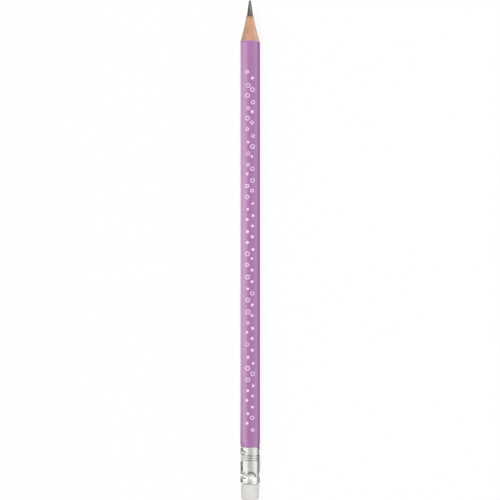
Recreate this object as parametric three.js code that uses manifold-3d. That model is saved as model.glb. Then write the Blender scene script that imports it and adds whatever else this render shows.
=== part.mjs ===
// A sharpened wooden pencil with a softly triangular barrel, a crimped ferrule and an eraser.
// Millimetres. Every piece is built round the +Y axis, upwards from the eraser's free end.
// The finished pencil then lies along +X on one face of its barrel, with the point at +X and +Z up.

import * as THREE from "three";
import { mergeVertices } from "three/addons/utils/BufferGeometryUtils.js";
import Module from "manifold-3d";

const wasm = await Module();
wasm.setup();

// Lengths along the pencil
const ERASER_EXPOSED = 6.3;
const FERRULE_LENGTH = 14;
const PAINTED_LENGTH = 153.8; // ferrule mouth to the paint edge, on the middle of a face
const CONE_LENGTH = 9.7; // bare wood, paint edge to lead
const POINT_LENGTH = 6.2; // bare lead
const TENON_LENGTH = 6.6; // wood inside the ferrule

// Barrel section: a triangle of arcs and flats
const FLAT_WIDTH = 1.3;
const CORNER_RADIUS = 3.1;
const LACQUER_THICKNESS = 0.12;
const PAINT_SCALLOP = 0.2; // how far the paint edge draws back at the corners
const NECK_LENGTH = 2.6; // corners pressed down to the ferrule's radius

// Lead and the wood round it
const LEAD_RADIUS = 1.22;
const LEAD_TIP_RADIUS = 0.42;
const WOOD_LIP = 0.18; // wood left standing round the lead at the top of the cone
const CONE_HOLLOW = 0.15; // how far the middle of the cone dips below a straight line

// Ferrule, with places measured from its mouth
const FERRULE_RADIUS = 3.64;
const FERRULE_WALL = 0.28;
const RIM_FLARE = 0.08;
const RIM_FLARE_LENGTH = 2.4;
const RIM_CURL = 0.35; // how far the rim's edge turns in again
const RIM_CURL_LENGTH = 1;
const RING_COUNT = 3;
const RING_PLACE = 3.25; // first rolled ring
const RING_PITCH = 0.89;
const RING_WIDTH = 0.66;
const RING_DEPTH = 0.15;

// Staking pricks that hold the wood
const STAKE_ANGLES = [78, 190, 302]; // degrees round from the side of the barrel
const STAKE_PLACE = 1.95;
const STAKE_WIDTH = 2.9;
const STAKE_HEIGHT = 2.3;
const STAKE_DEPTH = 0.42;

// Crimps that hold the eraser
const CRIMP_COUNT = 5;
const CRIMP_FROM_RIM = 3.55;
const CRIMP_WIDTH = 4.2;
const CRIMP_HEIGHT = 2.8;
const CRIMP_DEPTH = 0.36;
const CRIMP_ANGLE = 16; // degrees round to the first, from the side of the barrel
const CRIMP_SLANT = 25; // degrees of lean

// Eraser
const ERASER_RADIUS = 3.4;
const ERASER_END_TAPER = 0.05;
const ERASER_SWELL_LENGTH = 0.7; // rubber swelling out below the rim
const ERASER_EDGE_RADIUS = 0.9;

// Clearances
const BOND_GAP = 0.03; // glue line or primer between bonded pieces
const FERRULE_FIT = 0.06; // ferrule bore to tenon and plug
const MOUTH_GAP = 0.04; // ferrule mouth to the barrel's shoulder
const PLUG_GAP = 0.2; // end of the tenon to the end of the eraser's plug

// Facets
const DIRECTIONS = 60; // points in a ring round the axis
const LEAD_SIDES = 32;
const ARC_STEPS = 4;
const NECK_STEPS = 3;
const CONE_STEPS = 4;
const DENT_STEPS = 4;
const RING_STEPS = 2;
const CURL_STEPS = 4;

// Heights from the eraser's free end
const RIM_Y = ERASER_EXPOSED;
const MOUTH_Y = RIM_Y + FERRULE_LENGTH;
const TENON_Y = MOUTH_Y - TENON_LENGTH;
const SHOULDER_Y = MOUTH_Y + MOUTH_GAP;
const PAINT_EDGE_Y = MOUTH_Y + PAINTED_LENGTH;
const LEAD_EXIT_Y = PAINT_EDGE_Y + CONE_LENGTH;
const TIP_Y = LEAD_EXIT_Y + POINT_LENGTH;

// Reach of the barrel's section from the axis
const FACE_DISTANCE = FLAT_WIDTH / (2 * Math.sqrt(3)) + CORNER_RADIUS;
const CORNER_OFFSET = FLAT_WIDTH / Math.sqrt(3);
const CORNER_DISTANCE = CORNER_OFFSET + CORNER_RADIUS;
const CONE_TOP_RADIUS = LEAD_RADIUS + WOOD_LIP;

const TURN = 2 * Math.PI;
const THIRD = TURN / 3;
const FIRST_FACE = -TURN / 4; // the face that the pencil lies on

// Rings and lofts

// One ring of points, whose radius and height may both follow the direction.
function ring(radiusAt, heightAt) {
  return Array.from({ length: DIRECTIONS }, (_, i) => {
    const angle = (TURN * i) / DIRECTIONS;
    const radius = radiusAt(angle);
    return new THREE.Vector3(radius * Math.cos(angle), heightAt(angle), radius * Math.sin(angle));
  });
}

// A ring at one height.
const levelRing = (y, radiusAt) => ring(radiusAt, () => y);

// Skins a row of rings: a solid with a flat cap at each end, or a tube whose last ring meets its first.
function loft(rings, isTube) {
  const points = rings.flat();
  const triangles = [];
  const bands = isTube ? rings.length : rings.length - 1;
  for (let band = 0; band < bands; band++) {
    const low = band * DIRECTIONS;
    const high = ((band + 1) % rings.length) * DIRECTIONS;
    for (let i = 0; i < DIRECTIONS; i++) {
      const next = (i + 1) % DIRECTIONS;
      triangles.push(low + i, high + i, low + next);
      triangles.push(low + next, high + i, high + next);
    }
  }
  if (!isTube) {
    const last = (rings.length - 1) * DIRECTIONS;
    const lowCentre = points.push(new THREE.Vector3(0, rings[0][0].y, 0)) - 1;
    const highCentre = points.push(new THREE.Vector3(0, rings.at(-1)[0].y, 0)) - 1;
    for (let i = 0; i < DIRECTIONS; i++) {
      const next = (i + 1) % DIRECTIONS;
      triangles.push(lowCentre, i, next);
      triangles.push(highCentre, last + next, last + i);
    }
  }
  return new THREE.BufferGeometry().setFromPoints(points).setIndex(triangles);
}

// Joins and cuts

function solidOf(geometry) {
  const bare = geometry.clone();
  bare.deleteAttribute("normal");
  bare.deleteAttribute("uv");
  const merged = mergeVertices(bare);
  return new wasm.Manifold(
    new wasm.Mesh({
      numProp: 3,
      vertProperties: merged.attributes.position.array,
      triVerts: new Uint32Array(merged.index.array),
    }),
  );
}

function geometryOf(solid) {
  const mesh = solid.getMesh();
  const positions = new THREE.BufferAttribute(new Float32Array(mesh.vertProperties), 3);
  const triangles = new THREE.BufferAttribute(new Uint32Array(mesh.triVerts), 1);
  return new THREE.BufferGeometry().setAttribute("position", positions).setIndex(triangles);
}

// Barrel section

// Angle from the middle of the nearest face, 0 to 60 degrees.
function angleFromFace(angle) {
  const turned = THREE.MathUtils.euclideanModulo(angle - FIRST_FACE, THIRD);
  return Math.min(turned, THIRD - turned);
}

// Reach of the section, set in by an even thickness, in one direction from the axis.
function barrelRadius(angle, inset) {
  const fromFace = angleFromFace(angle);
  const faceRadius = (FACE_DISTANCE - inset) / Math.cos(fromFace);
  if (faceRadius * Math.sin(fromFace) <= FLAT_WIDTH / 2) return faceRadius;
  const fromCorner = THIRD / 2 - fromFace;
  const along = CORNER_OFFSET * Math.cos(fromCorner);
  const across = CORNER_OFFSET * Math.sin(fromCorner);
  return along + Math.sqrt((CORNER_RADIUS - inset) ** 2 - across ** 2);
}

// Reach of a barrel layer beside the ferrule, where the corners come down to the ferrule's radius.
function neckRadius(angle, inset, y) {
  const free = Math.min((y - SHOULDER_Y) / NECK_LENGTH, 1);
  const reach = THREE.MathUtils.lerp(CORNER_DISTANCE, FERRULE_RADIUS, (1 - free) ** 2);
  return Math.min(barrelRadius(angle, inset), reach - inset);
}

// Height of the paint edge: highest on the middle of a face, drawn back at the corners.
function paintEdge(angle) {
  const reach = barrelRadius(angle, 0) - FACE_DISTANCE;
  return PAINT_EDGE_Y - (PAINT_SCALLOP * reach) / (CORNER_DISTANCE - FACE_DISTANCE);
}

// How far up the cone, from the paint edge at 0 to the lead at 1, a layer of the barrel comes to light.
function coneShare(angle, inset) {
  const outside = barrelRadius(angle, 0);
  const depth = outside - barrelRadius(angle, inset);
  const slope = outside - CONE_TOP_RADIUS + 4 * CONE_HOLLOW;
  return (2 * depth) / (slope + Math.sqrt(slope ** 2 - 16 * CONE_HOLLOW * depth));
}

// A ring on the cone, a share of the way from where a layer comes to light up to the lead.
function coneRing(inset, climb) {
  const shareAt = (angle) => THREE.MathUtils.lerp(coneShare(angle, inset), 1, climb);
  const radiusAt = (angle) => {
    const share = shareAt(angle);
    const straight = THREE.MathUtils.lerp(barrelRadius(angle, 0), CONE_TOP_RADIUS, share);
    return straight - 4 * CONE_HOLLOW * share * (1 - share);
  };
  return ring(radiusAt, (angle) => THREE.MathUtils.lerp(paintEdge(angle), LEAD_EXIT_Y, shareAt(angle)));
}

// Rings of a barrel layer, from the shoulder at the ferrule up to the sharpened cone.
function barrelRings(inset) {
  const rings = [];
  for (let step = 0; step <= NECK_STEPS; step++) {
    const y = SHOULDER_Y + (NECK_LENGTH * step) / NECK_STEPS;
    rings.push(levelRing(y, (angle) => neckRadius(angle, inset, y)));
  }
  rings.push(coneRing(inset, 0));
  return rings;
}

// Ferrule form

const STAKES = {
  angles: STAKE_ANGLES.map((angle) => THREE.MathUtils.degToRad(angle)),
  place: STAKE_PLACE,
  width: STAKE_WIDTH,
  height: STAKE_HEIGHT,
  depth: STAKE_DEPTH,
  slant: 0,
};

const CRIMPS = {
  angles: Array.from(
    { length: CRIMP_COUNT },
    (_, i) => THREE.MathUtils.degToRad(CRIMP_ANGLE) + (TURN * i) / CRIMP_COUNT,
  ),
  place: FERRULE_LENGTH - CRIMP_FROM_RIM,
  width: CRIMP_WIDTH,
  height: CRIMP_HEIGHT,
  depth: CRIMP_DEPTH,
  slant: THREE.MathUtils.degToRad(CRIMP_SLANT),
};

// Depth of one row of slanted oval dents in a direction, at a distance below the mouth.
function dentDepth(row, angle, place) {
  const fromMiddles = row.angles.map((middle) => {
    const turned = THREE.MathUtils.euclideanModulo(angle - middle + TURN / 2, TURN) - TURN / 2;
    const spot = new THREE.Vector2(turned * FERRULE_RADIUS, place - row.place);
    spot.rotateAround(new THREE.Vector2(), row.slant);
    return Math.hypot((2 * spot.x) / row.width, (2 * spot.y) / row.height);
  });
  return row.depth * THREE.MathUtils.smoothstep(1 - Math.min(...fromMiddles), 0, 1);
}

const pressedDepth = (angle, place) =>
  dentDepth(STAKES, angle, place) + dentDepth(CRIMPS, angle, place);

// Depth of the rolled rings at a distance below the mouth.
function ringDepth(place) {
  const index = Math.round((place - RING_PLACE) / RING_PITCH);
  if (index < 0 || index >= RING_COUNT) return 0;
  const offset = place - (RING_PLACE + index * RING_PITCH);
  return RING_DEPTH * Math.max(0, 1 - ((2 * offset) / RING_WIDTH) ** 2) ** 2;
}

// Outer radius of the tube before the dents are pressed in.
function tubeRadius(place) {
  const fromRim = FERRULE_LENGTH - place;
  const rim = THREE.MathUtils.smoothstep(RIM_FLARE_LENGTH - fromRim, 0, RIM_FLARE_LENGTH - RIM_CURL_LENGTH);
  const curl = Math.max(0, 1 - fromRim / RIM_CURL_LENGTH) ** 2;
  return FERRULE_RADIUS + RIM_FLARE * rim - RIM_CURL * curl - ringDepth(place);
}

const boreRadius = (angle, place) => tubeRadius(place) - FERRULE_WALL - pressedDepth(angle, place);

// Evenly spread places across a feature of the ferrule.
function placesAcross(middle, width, steps) {
  return Array.from({ length: steps + 1 }, (_, i) => middle + width * (i / steps - 0.5));
}

// Places below the mouth where the tube, the tenon and the plug have a ring.
function ferrulePlaces() {
  const places = [0, TENON_LENGTH, TENON_LENGTH + PLUG_GAP, FERRULE_LENGTH];
  for (const row of [STAKES, CRIMPS]) {
    const reach = Math.hypot(row.height * Math.cos(row.slant), row.width * Math.sin(row.slant));
    places.push(...placesAcross(row.place, reach, DENT_STEPS * Math.ceil(reach / row.height)));
  }
  for (let index = 0; index < RING_COUNT; index++)
    places.push(...placesAcross(RING_PLACE + index * RING_PITCH, RING_WIDTH, RING_STEPS));
  places.push(FERRULE_LENGTH - RIM_FLARE_LENGTH);
  for (let step = 1; step <= CURL_STEPS; step++)
    places.push(FERRULE_LENGTH - (RIM_CURL_LENGTH * step) / CURL_STEPS);
  const inside = places.filter((place) => place >= 0 && place <= FERRULE_LENGTH).sort((a, b) => a - b);
  return inside.filter((place, i) => i === 0 || place - inside[i - 1] > BOND_GAP);
}

const PLACES = ferrulePlaces();

// Ferrule rings at the given places, from the rim upwards.
function ferruleRings(places, radiusAt) {
  const upwards = [...places].reverse();
  return upwards.map((place) => levelRing(MOUTH_Y - place, (angle) => radiusAt(angle, place)));
}

// Pieces

function makeLead() {
  const slope = Math.atan2(LEAD_RADIUS - LEAD_TIP_RADIUS, POINT_LENGTH - LEAD_TIP_RADIUS);
  const profile = [
    new THREE.Vector2(0, TENON_Y),
    new THREE.Vector2(LEAD_RADIUS, TENON_Y),
    new THREE.Vector2(LEAD_RADIUS, LEAD_EXIT_Y),
  ];
  for (let step = 0; step < ARC_STEPS; step++) {
    const turn = THREE.MathUtils.lerp(slope, TURN / 4, step / ARC_STEPS);
    const y = TIP_Y - LEAD_TIP_RADIUS * (1 - Math.sin(turn));
    profile.push(new THREE.Vector2(LEAD_TIP_RADIUS * Math.cos(turn), y));
  }
  profile.push(new THREE.Vector2(0, TIP_Y));
  return new THREE.LatheGeometry(profile, LEAD_SIDES);
}

// The glued blank: tenon, shoulder, barrel and cone, with a bore for the lead.
function makeWood() {
  const inset = LACQUER_THICKNESS + BOND_GAP;
  const tenonRadius = (angle, place) =>
    Math.min(barrelRadius(angle, inset), boreRadius(angle, place) - FERRULE_FIT);
  const tenonPlaces = PLACES.filter((place) => place <= TENON_LENGTH);
  const rings = [...ferruleRings(tenonPlaces, tenonRadius), ...barrelRings(inset)];
  for (let step = 1; step <= CONE_STEPS; step++)
    rings.push(coneRing(inset, step / CONE_STEPS));
  const blank = loft(rings);
  const boreLength = LEAD_EXIT_Y - TENON_Y + 2 * WOOD_LIP;
  const bore = new THREE.CylinderGeometry(
    LEAD_RADIUS + BOND_GAP,
    LEAD_RADIUS + BOND_GAP,
    boreLength,
    LEAD_SIDES,
  );
  bore.translate(0, TENON_Y - WOOD_LIP + boreLength / 2, 0);
  return solidOf(blank).subtract(solidOf(bore));
}

// One slat: the wood on one side of the glue line.
function makeSlat(wood, side) {
  const depth = 2 * CORNER_DISTANCE;
  const half = new THREE.BoxGeometry(2 * depth, 2 * TIP_Y, depth);
  half.translate(0, TIP_Y / 2, (side * (depth + BOND_GAP)) / 2);
  return geometryOf(wood.intersect(solidOf(half)));
}

function makeLacquer() {
  const outside = barrelRings(0);
  const inside = barrelRings(LACQUER_THICKNESS).reverse();
  return loft([...outside, ...inside], true);
}

function makeFerrule() {
  const outside = ferruleRings(PLACES, (angle, place) => boreRadius(angle, place) + FERRULE_WALL);
  const inside = ferruleRings(PLACES, boreRadius).reverse();
  return loft([...outside, ...inside], true);
}

// The plug fills the ferrule below the tenon, follows its crimps, and swells out below the rim.
function makeEraser() {
  const endRadius = ERASER_RADIUS - ERASER_END_TAPER;
  const rings = [];
  for (let step = 0; step <= ARC_STEPS; step++) {
    const turn = (TURN / 4) * (step / ARC_STEPS);
    const radius = endRadius - ERASER_EDGE_RADIUS * (1 - Math.sin(turn));
    rings.push(levelRing(ERASER_EDGE_RADIUS * (1 - Math.cos(turn)), () => radius));
  }
  rings.push(levelRing(RIM_Y - ERASER_SWELL_LENGTH, () => ERASER_RADIUS));
  const plugPlaces = PLACES.filter((place) => place >= TENON_LENGTH + PLUG_GAP);
  rings.push(...ferruleRings(plugPlaces, (angle, place) => boreRadius(angle, place) - FERRULE_FIT));
  return loft(rings);
}

// Assembly

function addPiece(group, name, geometry, look) {
  geometry.computeVertexNormals();
  const mesh = new THREE.Mesh(geometry, new THREE.MeshStandardMaterial(look));
  mesh.name = name;
  group.add(mesh);
}

const wood = makeWood();
const woodLook = { color: 0xd2a582, roughness: 0.8, metalness: 0 };

const pencil = new THREE.Group();
addPiece(pencil, "graphite_lead", makeLead(), { color: 0x55545a, roughness: 0.4, metalness: 0.3 });
addPiece(pencil, "base_slat", makeSlat(wood, -1), woodLook);
addPiece(pencil, "cap_slat", makeSlat(wood, 1), woodLook);
addPiece(pencil, "lacquer_coat", makeLacquer(), { color: 0xb080b4, roughness: 0.3, metalness: 0 });
addPiece(pencil, "ferrule", makeFerrule(), { color: 0xc8c9cc, roughness: 0.3, metalness: 1 });
addPiece(pencil, "eraser", makeEraser(), { color: 0xdcdad6, roughness: 0.8, metalness: 0 });

// Lay the pencil down, its lowest rim on the table and its middle over the origin.
const AXIS_HEIGHT = Math.max(FACE_DISTANCE, FERRULE_RADIUS + RIM_FLARE);
pencil.rotation.z = -TURN / 4;
pencil.position.set(-TIP_Y / 2, 0, AXIS_HEIGHT);

const part = new THREE.Group();
part.add(pencil);

export default part;
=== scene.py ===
import math

import bmesh
import bpy
from bpy.props import FloatProperty, FloatVectorProperty, IntProperty, PointerProperty
from mathutils import Matrix, Vector, noise


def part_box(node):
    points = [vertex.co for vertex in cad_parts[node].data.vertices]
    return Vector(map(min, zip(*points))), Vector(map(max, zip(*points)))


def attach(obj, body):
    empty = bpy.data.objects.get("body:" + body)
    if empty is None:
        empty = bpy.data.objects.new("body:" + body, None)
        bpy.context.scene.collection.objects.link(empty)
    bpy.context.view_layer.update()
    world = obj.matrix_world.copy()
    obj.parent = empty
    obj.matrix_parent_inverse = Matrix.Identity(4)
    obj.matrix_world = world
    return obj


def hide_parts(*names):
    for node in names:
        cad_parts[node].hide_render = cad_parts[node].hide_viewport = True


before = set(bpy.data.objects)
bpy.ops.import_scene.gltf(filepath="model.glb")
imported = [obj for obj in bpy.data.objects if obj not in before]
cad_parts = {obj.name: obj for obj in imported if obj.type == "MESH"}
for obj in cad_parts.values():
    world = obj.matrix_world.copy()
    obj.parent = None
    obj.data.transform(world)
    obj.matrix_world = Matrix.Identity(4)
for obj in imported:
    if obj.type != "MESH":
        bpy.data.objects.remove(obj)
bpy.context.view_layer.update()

bl_info = {
    "name": "Triangular pencil",
    "version": (1, 0, 0),
    "blender": (4, 5, 0),
    "location": "View3D > Sidebar > Pencil",
    "description": "Makes a sharpened triangular pencil with a crimped ferrule and an eraser",
    "category": "Mesh",
}

MM = 0.001
TURN = 2 * math.pi
THIRD = TURN / 3

# Boxes of the frame's pieces
LEAD_LOW, LEAD_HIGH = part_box("graphite_lead")
SLAT_LOW, SLAT_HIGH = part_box("cap_slat")
COAT_LOW, COAT_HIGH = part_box("lacquer_coat")
TUBE_LOW, TUBE_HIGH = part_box("ferrule")
RUBBER_LOW, RUBBER_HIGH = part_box("eraser")

# Places along the pencil, from the eraser to the point
END_X = RUBBER_LOW.x
RIM_X = TUBE_LOW.x
PLUG_X = RUBBER_HIGH.x
TENON_X = SLAT_LOW.x
MOUTH_X = TUBE_HIGH.x
SHOULDER_X = COAT_LOW.x
LEAD_EXIT_X = SLAT_HIGH.x
TIP_X = LEAD_HIGH.x

# Reach from the axis
AXIS_Z = (TUBE_LOW.z + TUBE_HIGH.z) / 2
FACE_REACH = AXIS_Z - COAT_LOW.z
CORNER_REACH = COAT_HIGH.z - AXIS_Z
FLAT_WIDTH = 2 * math.sqrt(3) * (CORNER_REACH - FACE_REACH)
CORNER_RADIUS = 2 * FACE_REACH - CORNER_REACH
LEAD_RADIUS = (LEAD_HIGH.y - LEAD_LOW.y) / 2
RIM_REACH = (TUBE_HIGH.z - TUBE_LOW.z) / 2
ERASER_RADIUS = (RUBBER_HIGH.y - RUBBER_LOW.y) / 2

# Directions round the axis, from +Y up towards +Z
RESTING_FACE = -TURN / 4
PRINTED_FACE = RESTING_FACE + 2 * THIRD

# Fineness of the meshes
BARREL_SIDES = 180
BARREL_STEPS = 24
NECK_STEPS = 12
CONE_STEPS = 40
SLAT_SIDES = 90
LEAD_SIDES = 72
LEAD_STEPS = 60
TIP_STEPS = 12
ERASER_SIDES = 120
ERASER_STEPS = 12
DOME_STEPS = 8
EDGE_STEPS = 16
SWELL_STEPS = 6
TUBE_COLUMNS = 300
TUBE_ROWS = 320
SEAM_WIDTH = 0.0005 * MM
CREASE_ANGLE = math.radians(38)

# Small faults: the ragged paint edge, grinding ridges on the lead, and dust where wood meets lead
RAGGED_DEPTH = 0.04 * MM
RAGGED_SAMPLING = 3.0
RIDGE_DEPTH = 0.006 * MM
RIDGE_SAMPLING = 1.7
GRAPHITE_DUST_REACH = 1.6 * MM
WOOD_DUST_REACH = 3.0 * MM

# Painted light on the ferrule: painted shade on the walls of its dents, more on their upper walls, and in
# its rings away from the lit side; a painted highlight below the crimps; and lighter metal at the rim's
# turned edge
WALL_STEP = 0.3 * MM
STAKE_SHADE = 5.0
CRIMP_SHADE = 3.6
LOWER_WALL_FADE = 2.0
LIT_DIRECTION = math.radians(118)
LIT_WIDTH = math.radians(64)
HIGHLIGHT_REACH = 1.3 * MM
HIGHLIGHT_STRENGTH = 0.5

# Printed marks
PRINT_SEED = 7
MARK_DRIFT = 0.25
MARK_SCALES = (0.85, 1.1)
RING_CORNERS = 24
DOT_CORNERS = 20
DOT_SHARE = 0.8
DIAMOND_CORNERS = 4
DIAMOND_CUTS = 5
SPOT_SEGMENTS = 4
SPOT_LEVEL = 2
PICK_MARGIN = 0.01

# Numbers of sockets whose names repeat within their node
MIX_SHARE, MIX_FIRST, MIX_SECOND, MIX_COLOUR = 0, 6, 7, 2
RANDOM_LOW, RANDOM_HIGH, RANDOM_NUMBER = 2, 3, 1

# Levels of noise that become 0 and 1, and how far each slat's grain is moved
NOISE_SPAN = (0.3, 0.7)
BASE_SHIFT = 0.013
CAP_SHIFT = 0.021

# View and studio
VIEW_ELEVATION = math.radians(30)
VIEW_DISTANCE = 0.6
VIEW_SPAN = 190.2 * MM
ROOM_FILL = 0.55
FLOOR_REACH = 2.0
FLOOR_TONE = 0.9
FLOOR_SHADOW = 0.1
FLOOR_WHITE = 0.915
# Painted highlight of the floor, seen only in reflections: none right under the pencil, brightest just
# beside it, dimmer further off
FLOOR_DARK_REACH = 4.4 * MM
FLOOR_BRIGHT_REACH = 5.4 * MM
FLOOR_DIM_REACH = 30.0 * MM
NEAR_GLINT = 0.75
FAR_GLINT = 0.45
SOFTBOX_HEIGHT = 0.9
SOFTBOX_SIZE = (1.5, 0.96)
SOFTBOX_RADIANCE = 0.85
FILL_PLACE = (0.0, -1.0, 0.08)
FILL_SIZE = (1.6, 0.14)
FILL_RADIANCE = 6.5

# Cards that only reflections see: name, radiance, tint, one corner and the two edges from it
PLAIN_TINT = (1.0, 1.0, 1.0, 1.0)
WARM_TINT = (1.0, 0.975, 0.92, 1.0)
CARDS = (
    ("end_top", 1.46, WARM_TINT, (-1.5, -0.53, 0.9), (1.335, 0.0, 0.0), (0.0, 1.03, 0.0)),
    ("barrel_top", 2.3, WARM_TINT, (-0.165, -0.92, 0.9), (0.485, 0.0, 0.0), (0.0, 1.42, 0.0)),
    ("tip_top", 0.08, PLAIN_TINT, (0.32, -0.5, 0.9), (0.38, 0.0, 0.0), (0.0, 1.0, 0.0)),
    ("far_top", 1.6, PLAIN_TINT, (0.7, -0.5, 0.9), (0.8, 0.0, 0.0), (0.0, 1.0, 0.0)),
    ("front", 0.93, PLAIN_TINT, (-0.4, -1.0, 0.0), (0.82, 0.0, 0.0), (0.0, 0.0, 1.7)),
    ("end_front", 0.5, PLAIN_TINT, (-0.9, -1.0, 0.0), (0.5, 0.0, 0.0), (0.0, 0.0, 1.0)),
    ("tip_front", 1.4, PLAIN_TINT, (0.42, -1.0, 0.0), (0.5, 0.0, 0.0), (0.0, 0.0, 0.8)),
    ("end_back", 0.2, PLAIN_TINT, (-0.24, 0.5, 0.0), (0.122, 0.0, 0.0), (-0.032, 0.0, 0.64)),
    ("barrel_back", 1.8, PLAIN_TINT, (-0.118, 0.5, 0.0), (0.318, 0.0, 0.0), (-0.032, 0.0, 0.64)),
    ("tip_back", 0.08, PLAIN_TINT, (0.2, 0.5, 0.0), (0.16, 0.0, 0.0), (-0.032, 0.0, 0.64)),
    ("end_side", 0.45, PLAIN_TINT, (-0.9, -1.2, 0.0), (0.0, 1.8, 0.0), (0.0, 0.0, 1.0)),
    ("tip_side", 0.65, PLAIN_TINT, (0.9, -1.2, 0.0), (0.0, 1.8, 0.0), (0.0, 0.0, 1.0)),
)


# Properties

def length(name, description, millimetres):
    """A property that holds a length."""
    return FloatProperty(
        name=name,
        description=description,
        default=millimetres * MM,
        min=0.0,
        precision=5,
        unit="LENGTH",
    )


def angle(name, description, degrees):
    """A property that holds an angle."""
    return FloatProperty(
        name=name, description=description, default=math.radians(degrees), subtype="ANGLE"
    )


def angles(name, description, *degrees):
    """A property that holds a few angles."""
    turns = [math.radians(turn) for turn in degrees]
    return FloatVectorProperty(
        name=name, description=description, default=turns, size=len(turns), unit="ROTATION"
    )


def count(name, description, number):
    """A property that holds a number of like things."""
    return IntProperty(name=name, description=description, default=number, min=1)


def fraction(name, description, part):
    """A property that holds a part of a whole."""
    return FloatProperty(
        name=name, description=description, default=part, min=0.0, max=1.0, subtype="FACTOR"
    )


def colour(name, description, red, green, blue):
    """A property that holds a linear colour."""
    return FloatVectorProperty(
        name=name,
        description=description,
        default=(red, green, blue),
        min=0.0,
        max=1.0,
        subtype="COLOR",
    )


class PencilSizes(bpy.types.PropertyGroup):
    """Sizes of the details that the frame's boxes don't give."""

    lacquer: length("Lacquer", "Thickness of the lacquer and its undercoat", 0.12)
    undercoat: length("Undercoat", "Thickness of the pale undercoat alone", 0.05)
    bond: length("Bond", "Glue or primer between two pieces", 0.03)
    neck: length("Neck", "Length over which the barrel comes down to the ferrule", 2.6)
    neck_step: length("Neck step", "How far the barrel's end stays below the ferrule's mouth", 0.15)
    scallop: length("Scallop", "How far the paint edge draws back at the corners", 0.2)
    hollow: length("Hollow", "How far the middle of the cone dips below a straight line", 0.15)
    wood_lip: length("Wood lip", "Wood left standing round the lead", 0.18)
    tip_radius: length("Tip radius", "Roundness of the lead's tip", 0.42)

    wall: length("Ferrule wall", "Thickness of the ferrule's metal", 0.28)
    fit: length("Ferrule fit", "Room between the ferrule and what it holds", 0.06)
    rim_flare: length("Rim flare", "How far the rim stands out", 0.04)
    flare_length: length("Flare length", "Length of the flared rim", 3.4)
    rim_curl: length("Rim curl", "How far the rim's edge turns in again", 0.32)
    curl_length: length("Curl length", "Length of the turned edge", 0.65)
    ring_count: count("Rings", "Number of rolled rings", 3)
    ring_place: length("Ring place", "First rolled ring, from the mouth", 3.25)
    ring_pitch: length("Ring pitch", "From one ring to the next", 0.89)
    ring_width: length("Ring width", "Width of a rolled ring", 0.66)
    ring_depth: length("Ring depth", "Depth of a rolled ring", 0.15)

    stake_angles: angles("Stake angles", "Directions of the three pricks that hold the wood", 105, -10, 238)
    stake_place: length("Stake place", "Row of stakes, from the mouth", 2.05)
    stake_width: length("Stake width", "Width of a stake round the tube", 2.9)
    stake_height: length("Stake height", "Height of a stake along the tube", 2.3)
    stake_depth: length("Stake depth", "Depth of a stake", 0.42)
    stake_wall: fraction("Stake wall", "Sloped part of a stake's reach", 0.8)
    crimp_angles: angles("Crimp angles", "Directions of the eraser's crimps", 164, 236, 308, 24, 105)
    crimp_from_rim: length("Crimp place", "Row of crimps, from the rim", 3.4)
    crimp_width: length("Crimp width", "Width of a crimp round the tube", 4.4)
    crimp_height: length("Crimp height", "Height of a crimp along the tube", 2.8)
    crimp_depth: length("Crimp depth", "Depth of a crimp", 0.36)
    crimp_wall: fraction("Crimp wall", "Sloped part of a crimp's reach", 0.6)
    crimp_slant: angle("Crimp slant", "Lean of a crimp", -25)

    eraser_taper: length("Eraser taper", "How much slimmer the eraser's free end is", 0.05)
    eraser_edge: length("Eraser edge", "Roundness of the eraser's end", 0.9)
    eraser_dome: length("Eraser dome", "Crown of the eraser's end", 0.06)
    eraser_swell: length("Eraser swell", "Rubber swelling out below the rim", 0.7)

    mark_count: count("Marks", "Number of printed marks", 64)
    mark_size: length("Mark size", "Reach of a printed ring or diamond", 0.7)
    mark_stroke: length("Mark stroke", "Width of a printed line", 0.32)
    mark_row: length("Mark row", "Rows of marks, from the middle of the face", 0.95)
    mark_front: length("Bare front", "Bare face between the print and the cone", 12.0)
    mark_back: length("Bare back", "Bare face between the print and the ferrule", 6.6)
    ink: length("Ink", "Thickness of the printed ink", 0.03)


class PencilColours(bpy.types.PropertyGroup):
    """Colours of the finishes."""

    lacquer: colour("Lacquer", "Lilac lacquer", 0.325, 0.12, 0.325)
    undercoat: colour("Undercoat", "Pale undercoat, seen where the lacquer is cut", 0.62, 0.42, 0.52)
    ink: colour("Ink", "Printed marks", 0.84, 0.655, 0.865)
    cap_wood: colour("Cap wood", "Upper slat", 0.62, 0.325, 0.215)
    base_wood: colour("Base wood", "Lower slat", 0.70, 0.46, 0.33)
    graphite: colour("Graphite", "Lead", 0.024, 0.022, 0.02)
    metal: colour("Metal", "Aluminium of the ferrule", 0.56, 0.555, 0.55)
    rubber: colour("Rubber", "Eraser", 0.70, 0.685, 0.655)


# Node trees

class Wire:
    """A socket inside a node tree. Arithmetic on it adds Math nodes."""

    def __init__(self, graph, socket):
        self.graph = graph
        self.socket = socket

    def math(self, operation, *others):
        """The wire after one Math node."""
        inputs = dict(enumerate((self, *others)))
        return self.graph.result("ShaderNodeMath", inputs, operation=operation)

    def __add__(self, other):
        return self.math("ADD", other)

    def __sub__(self, other):
        return self.math("SUBTRACT", other)

    def __mul__(self, other):
        return self.math("MULTIPLY", other)

    def __truediv__(self, other):
        return self.math("DIVIDE", other)

    def __neg__(self):
        return self * -1.0

    def squared(self):
        """The wire times itself."""
        return self * self

    def clamped(self, low, high):
        """The wire held between two limits."""
        return self.math("MAXIMUM", low).math("MINIMUM", high)

    def eased(self):
        """The wire held between 0 and 1, with a soft start and end."""
        held = self.clamped(0.0, 1.0)
        return held.squared() * (held * -2.0 + 3.0)

    def spread(self, low, high):
        """The wire stretched so that low becomes 0 and high becomes 1, and held there."""
        inputs = {"Value": self, "From Min": low, "From Max": high}
        return self.graph.result("ShaderNodeMapRange", inputs)


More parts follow.
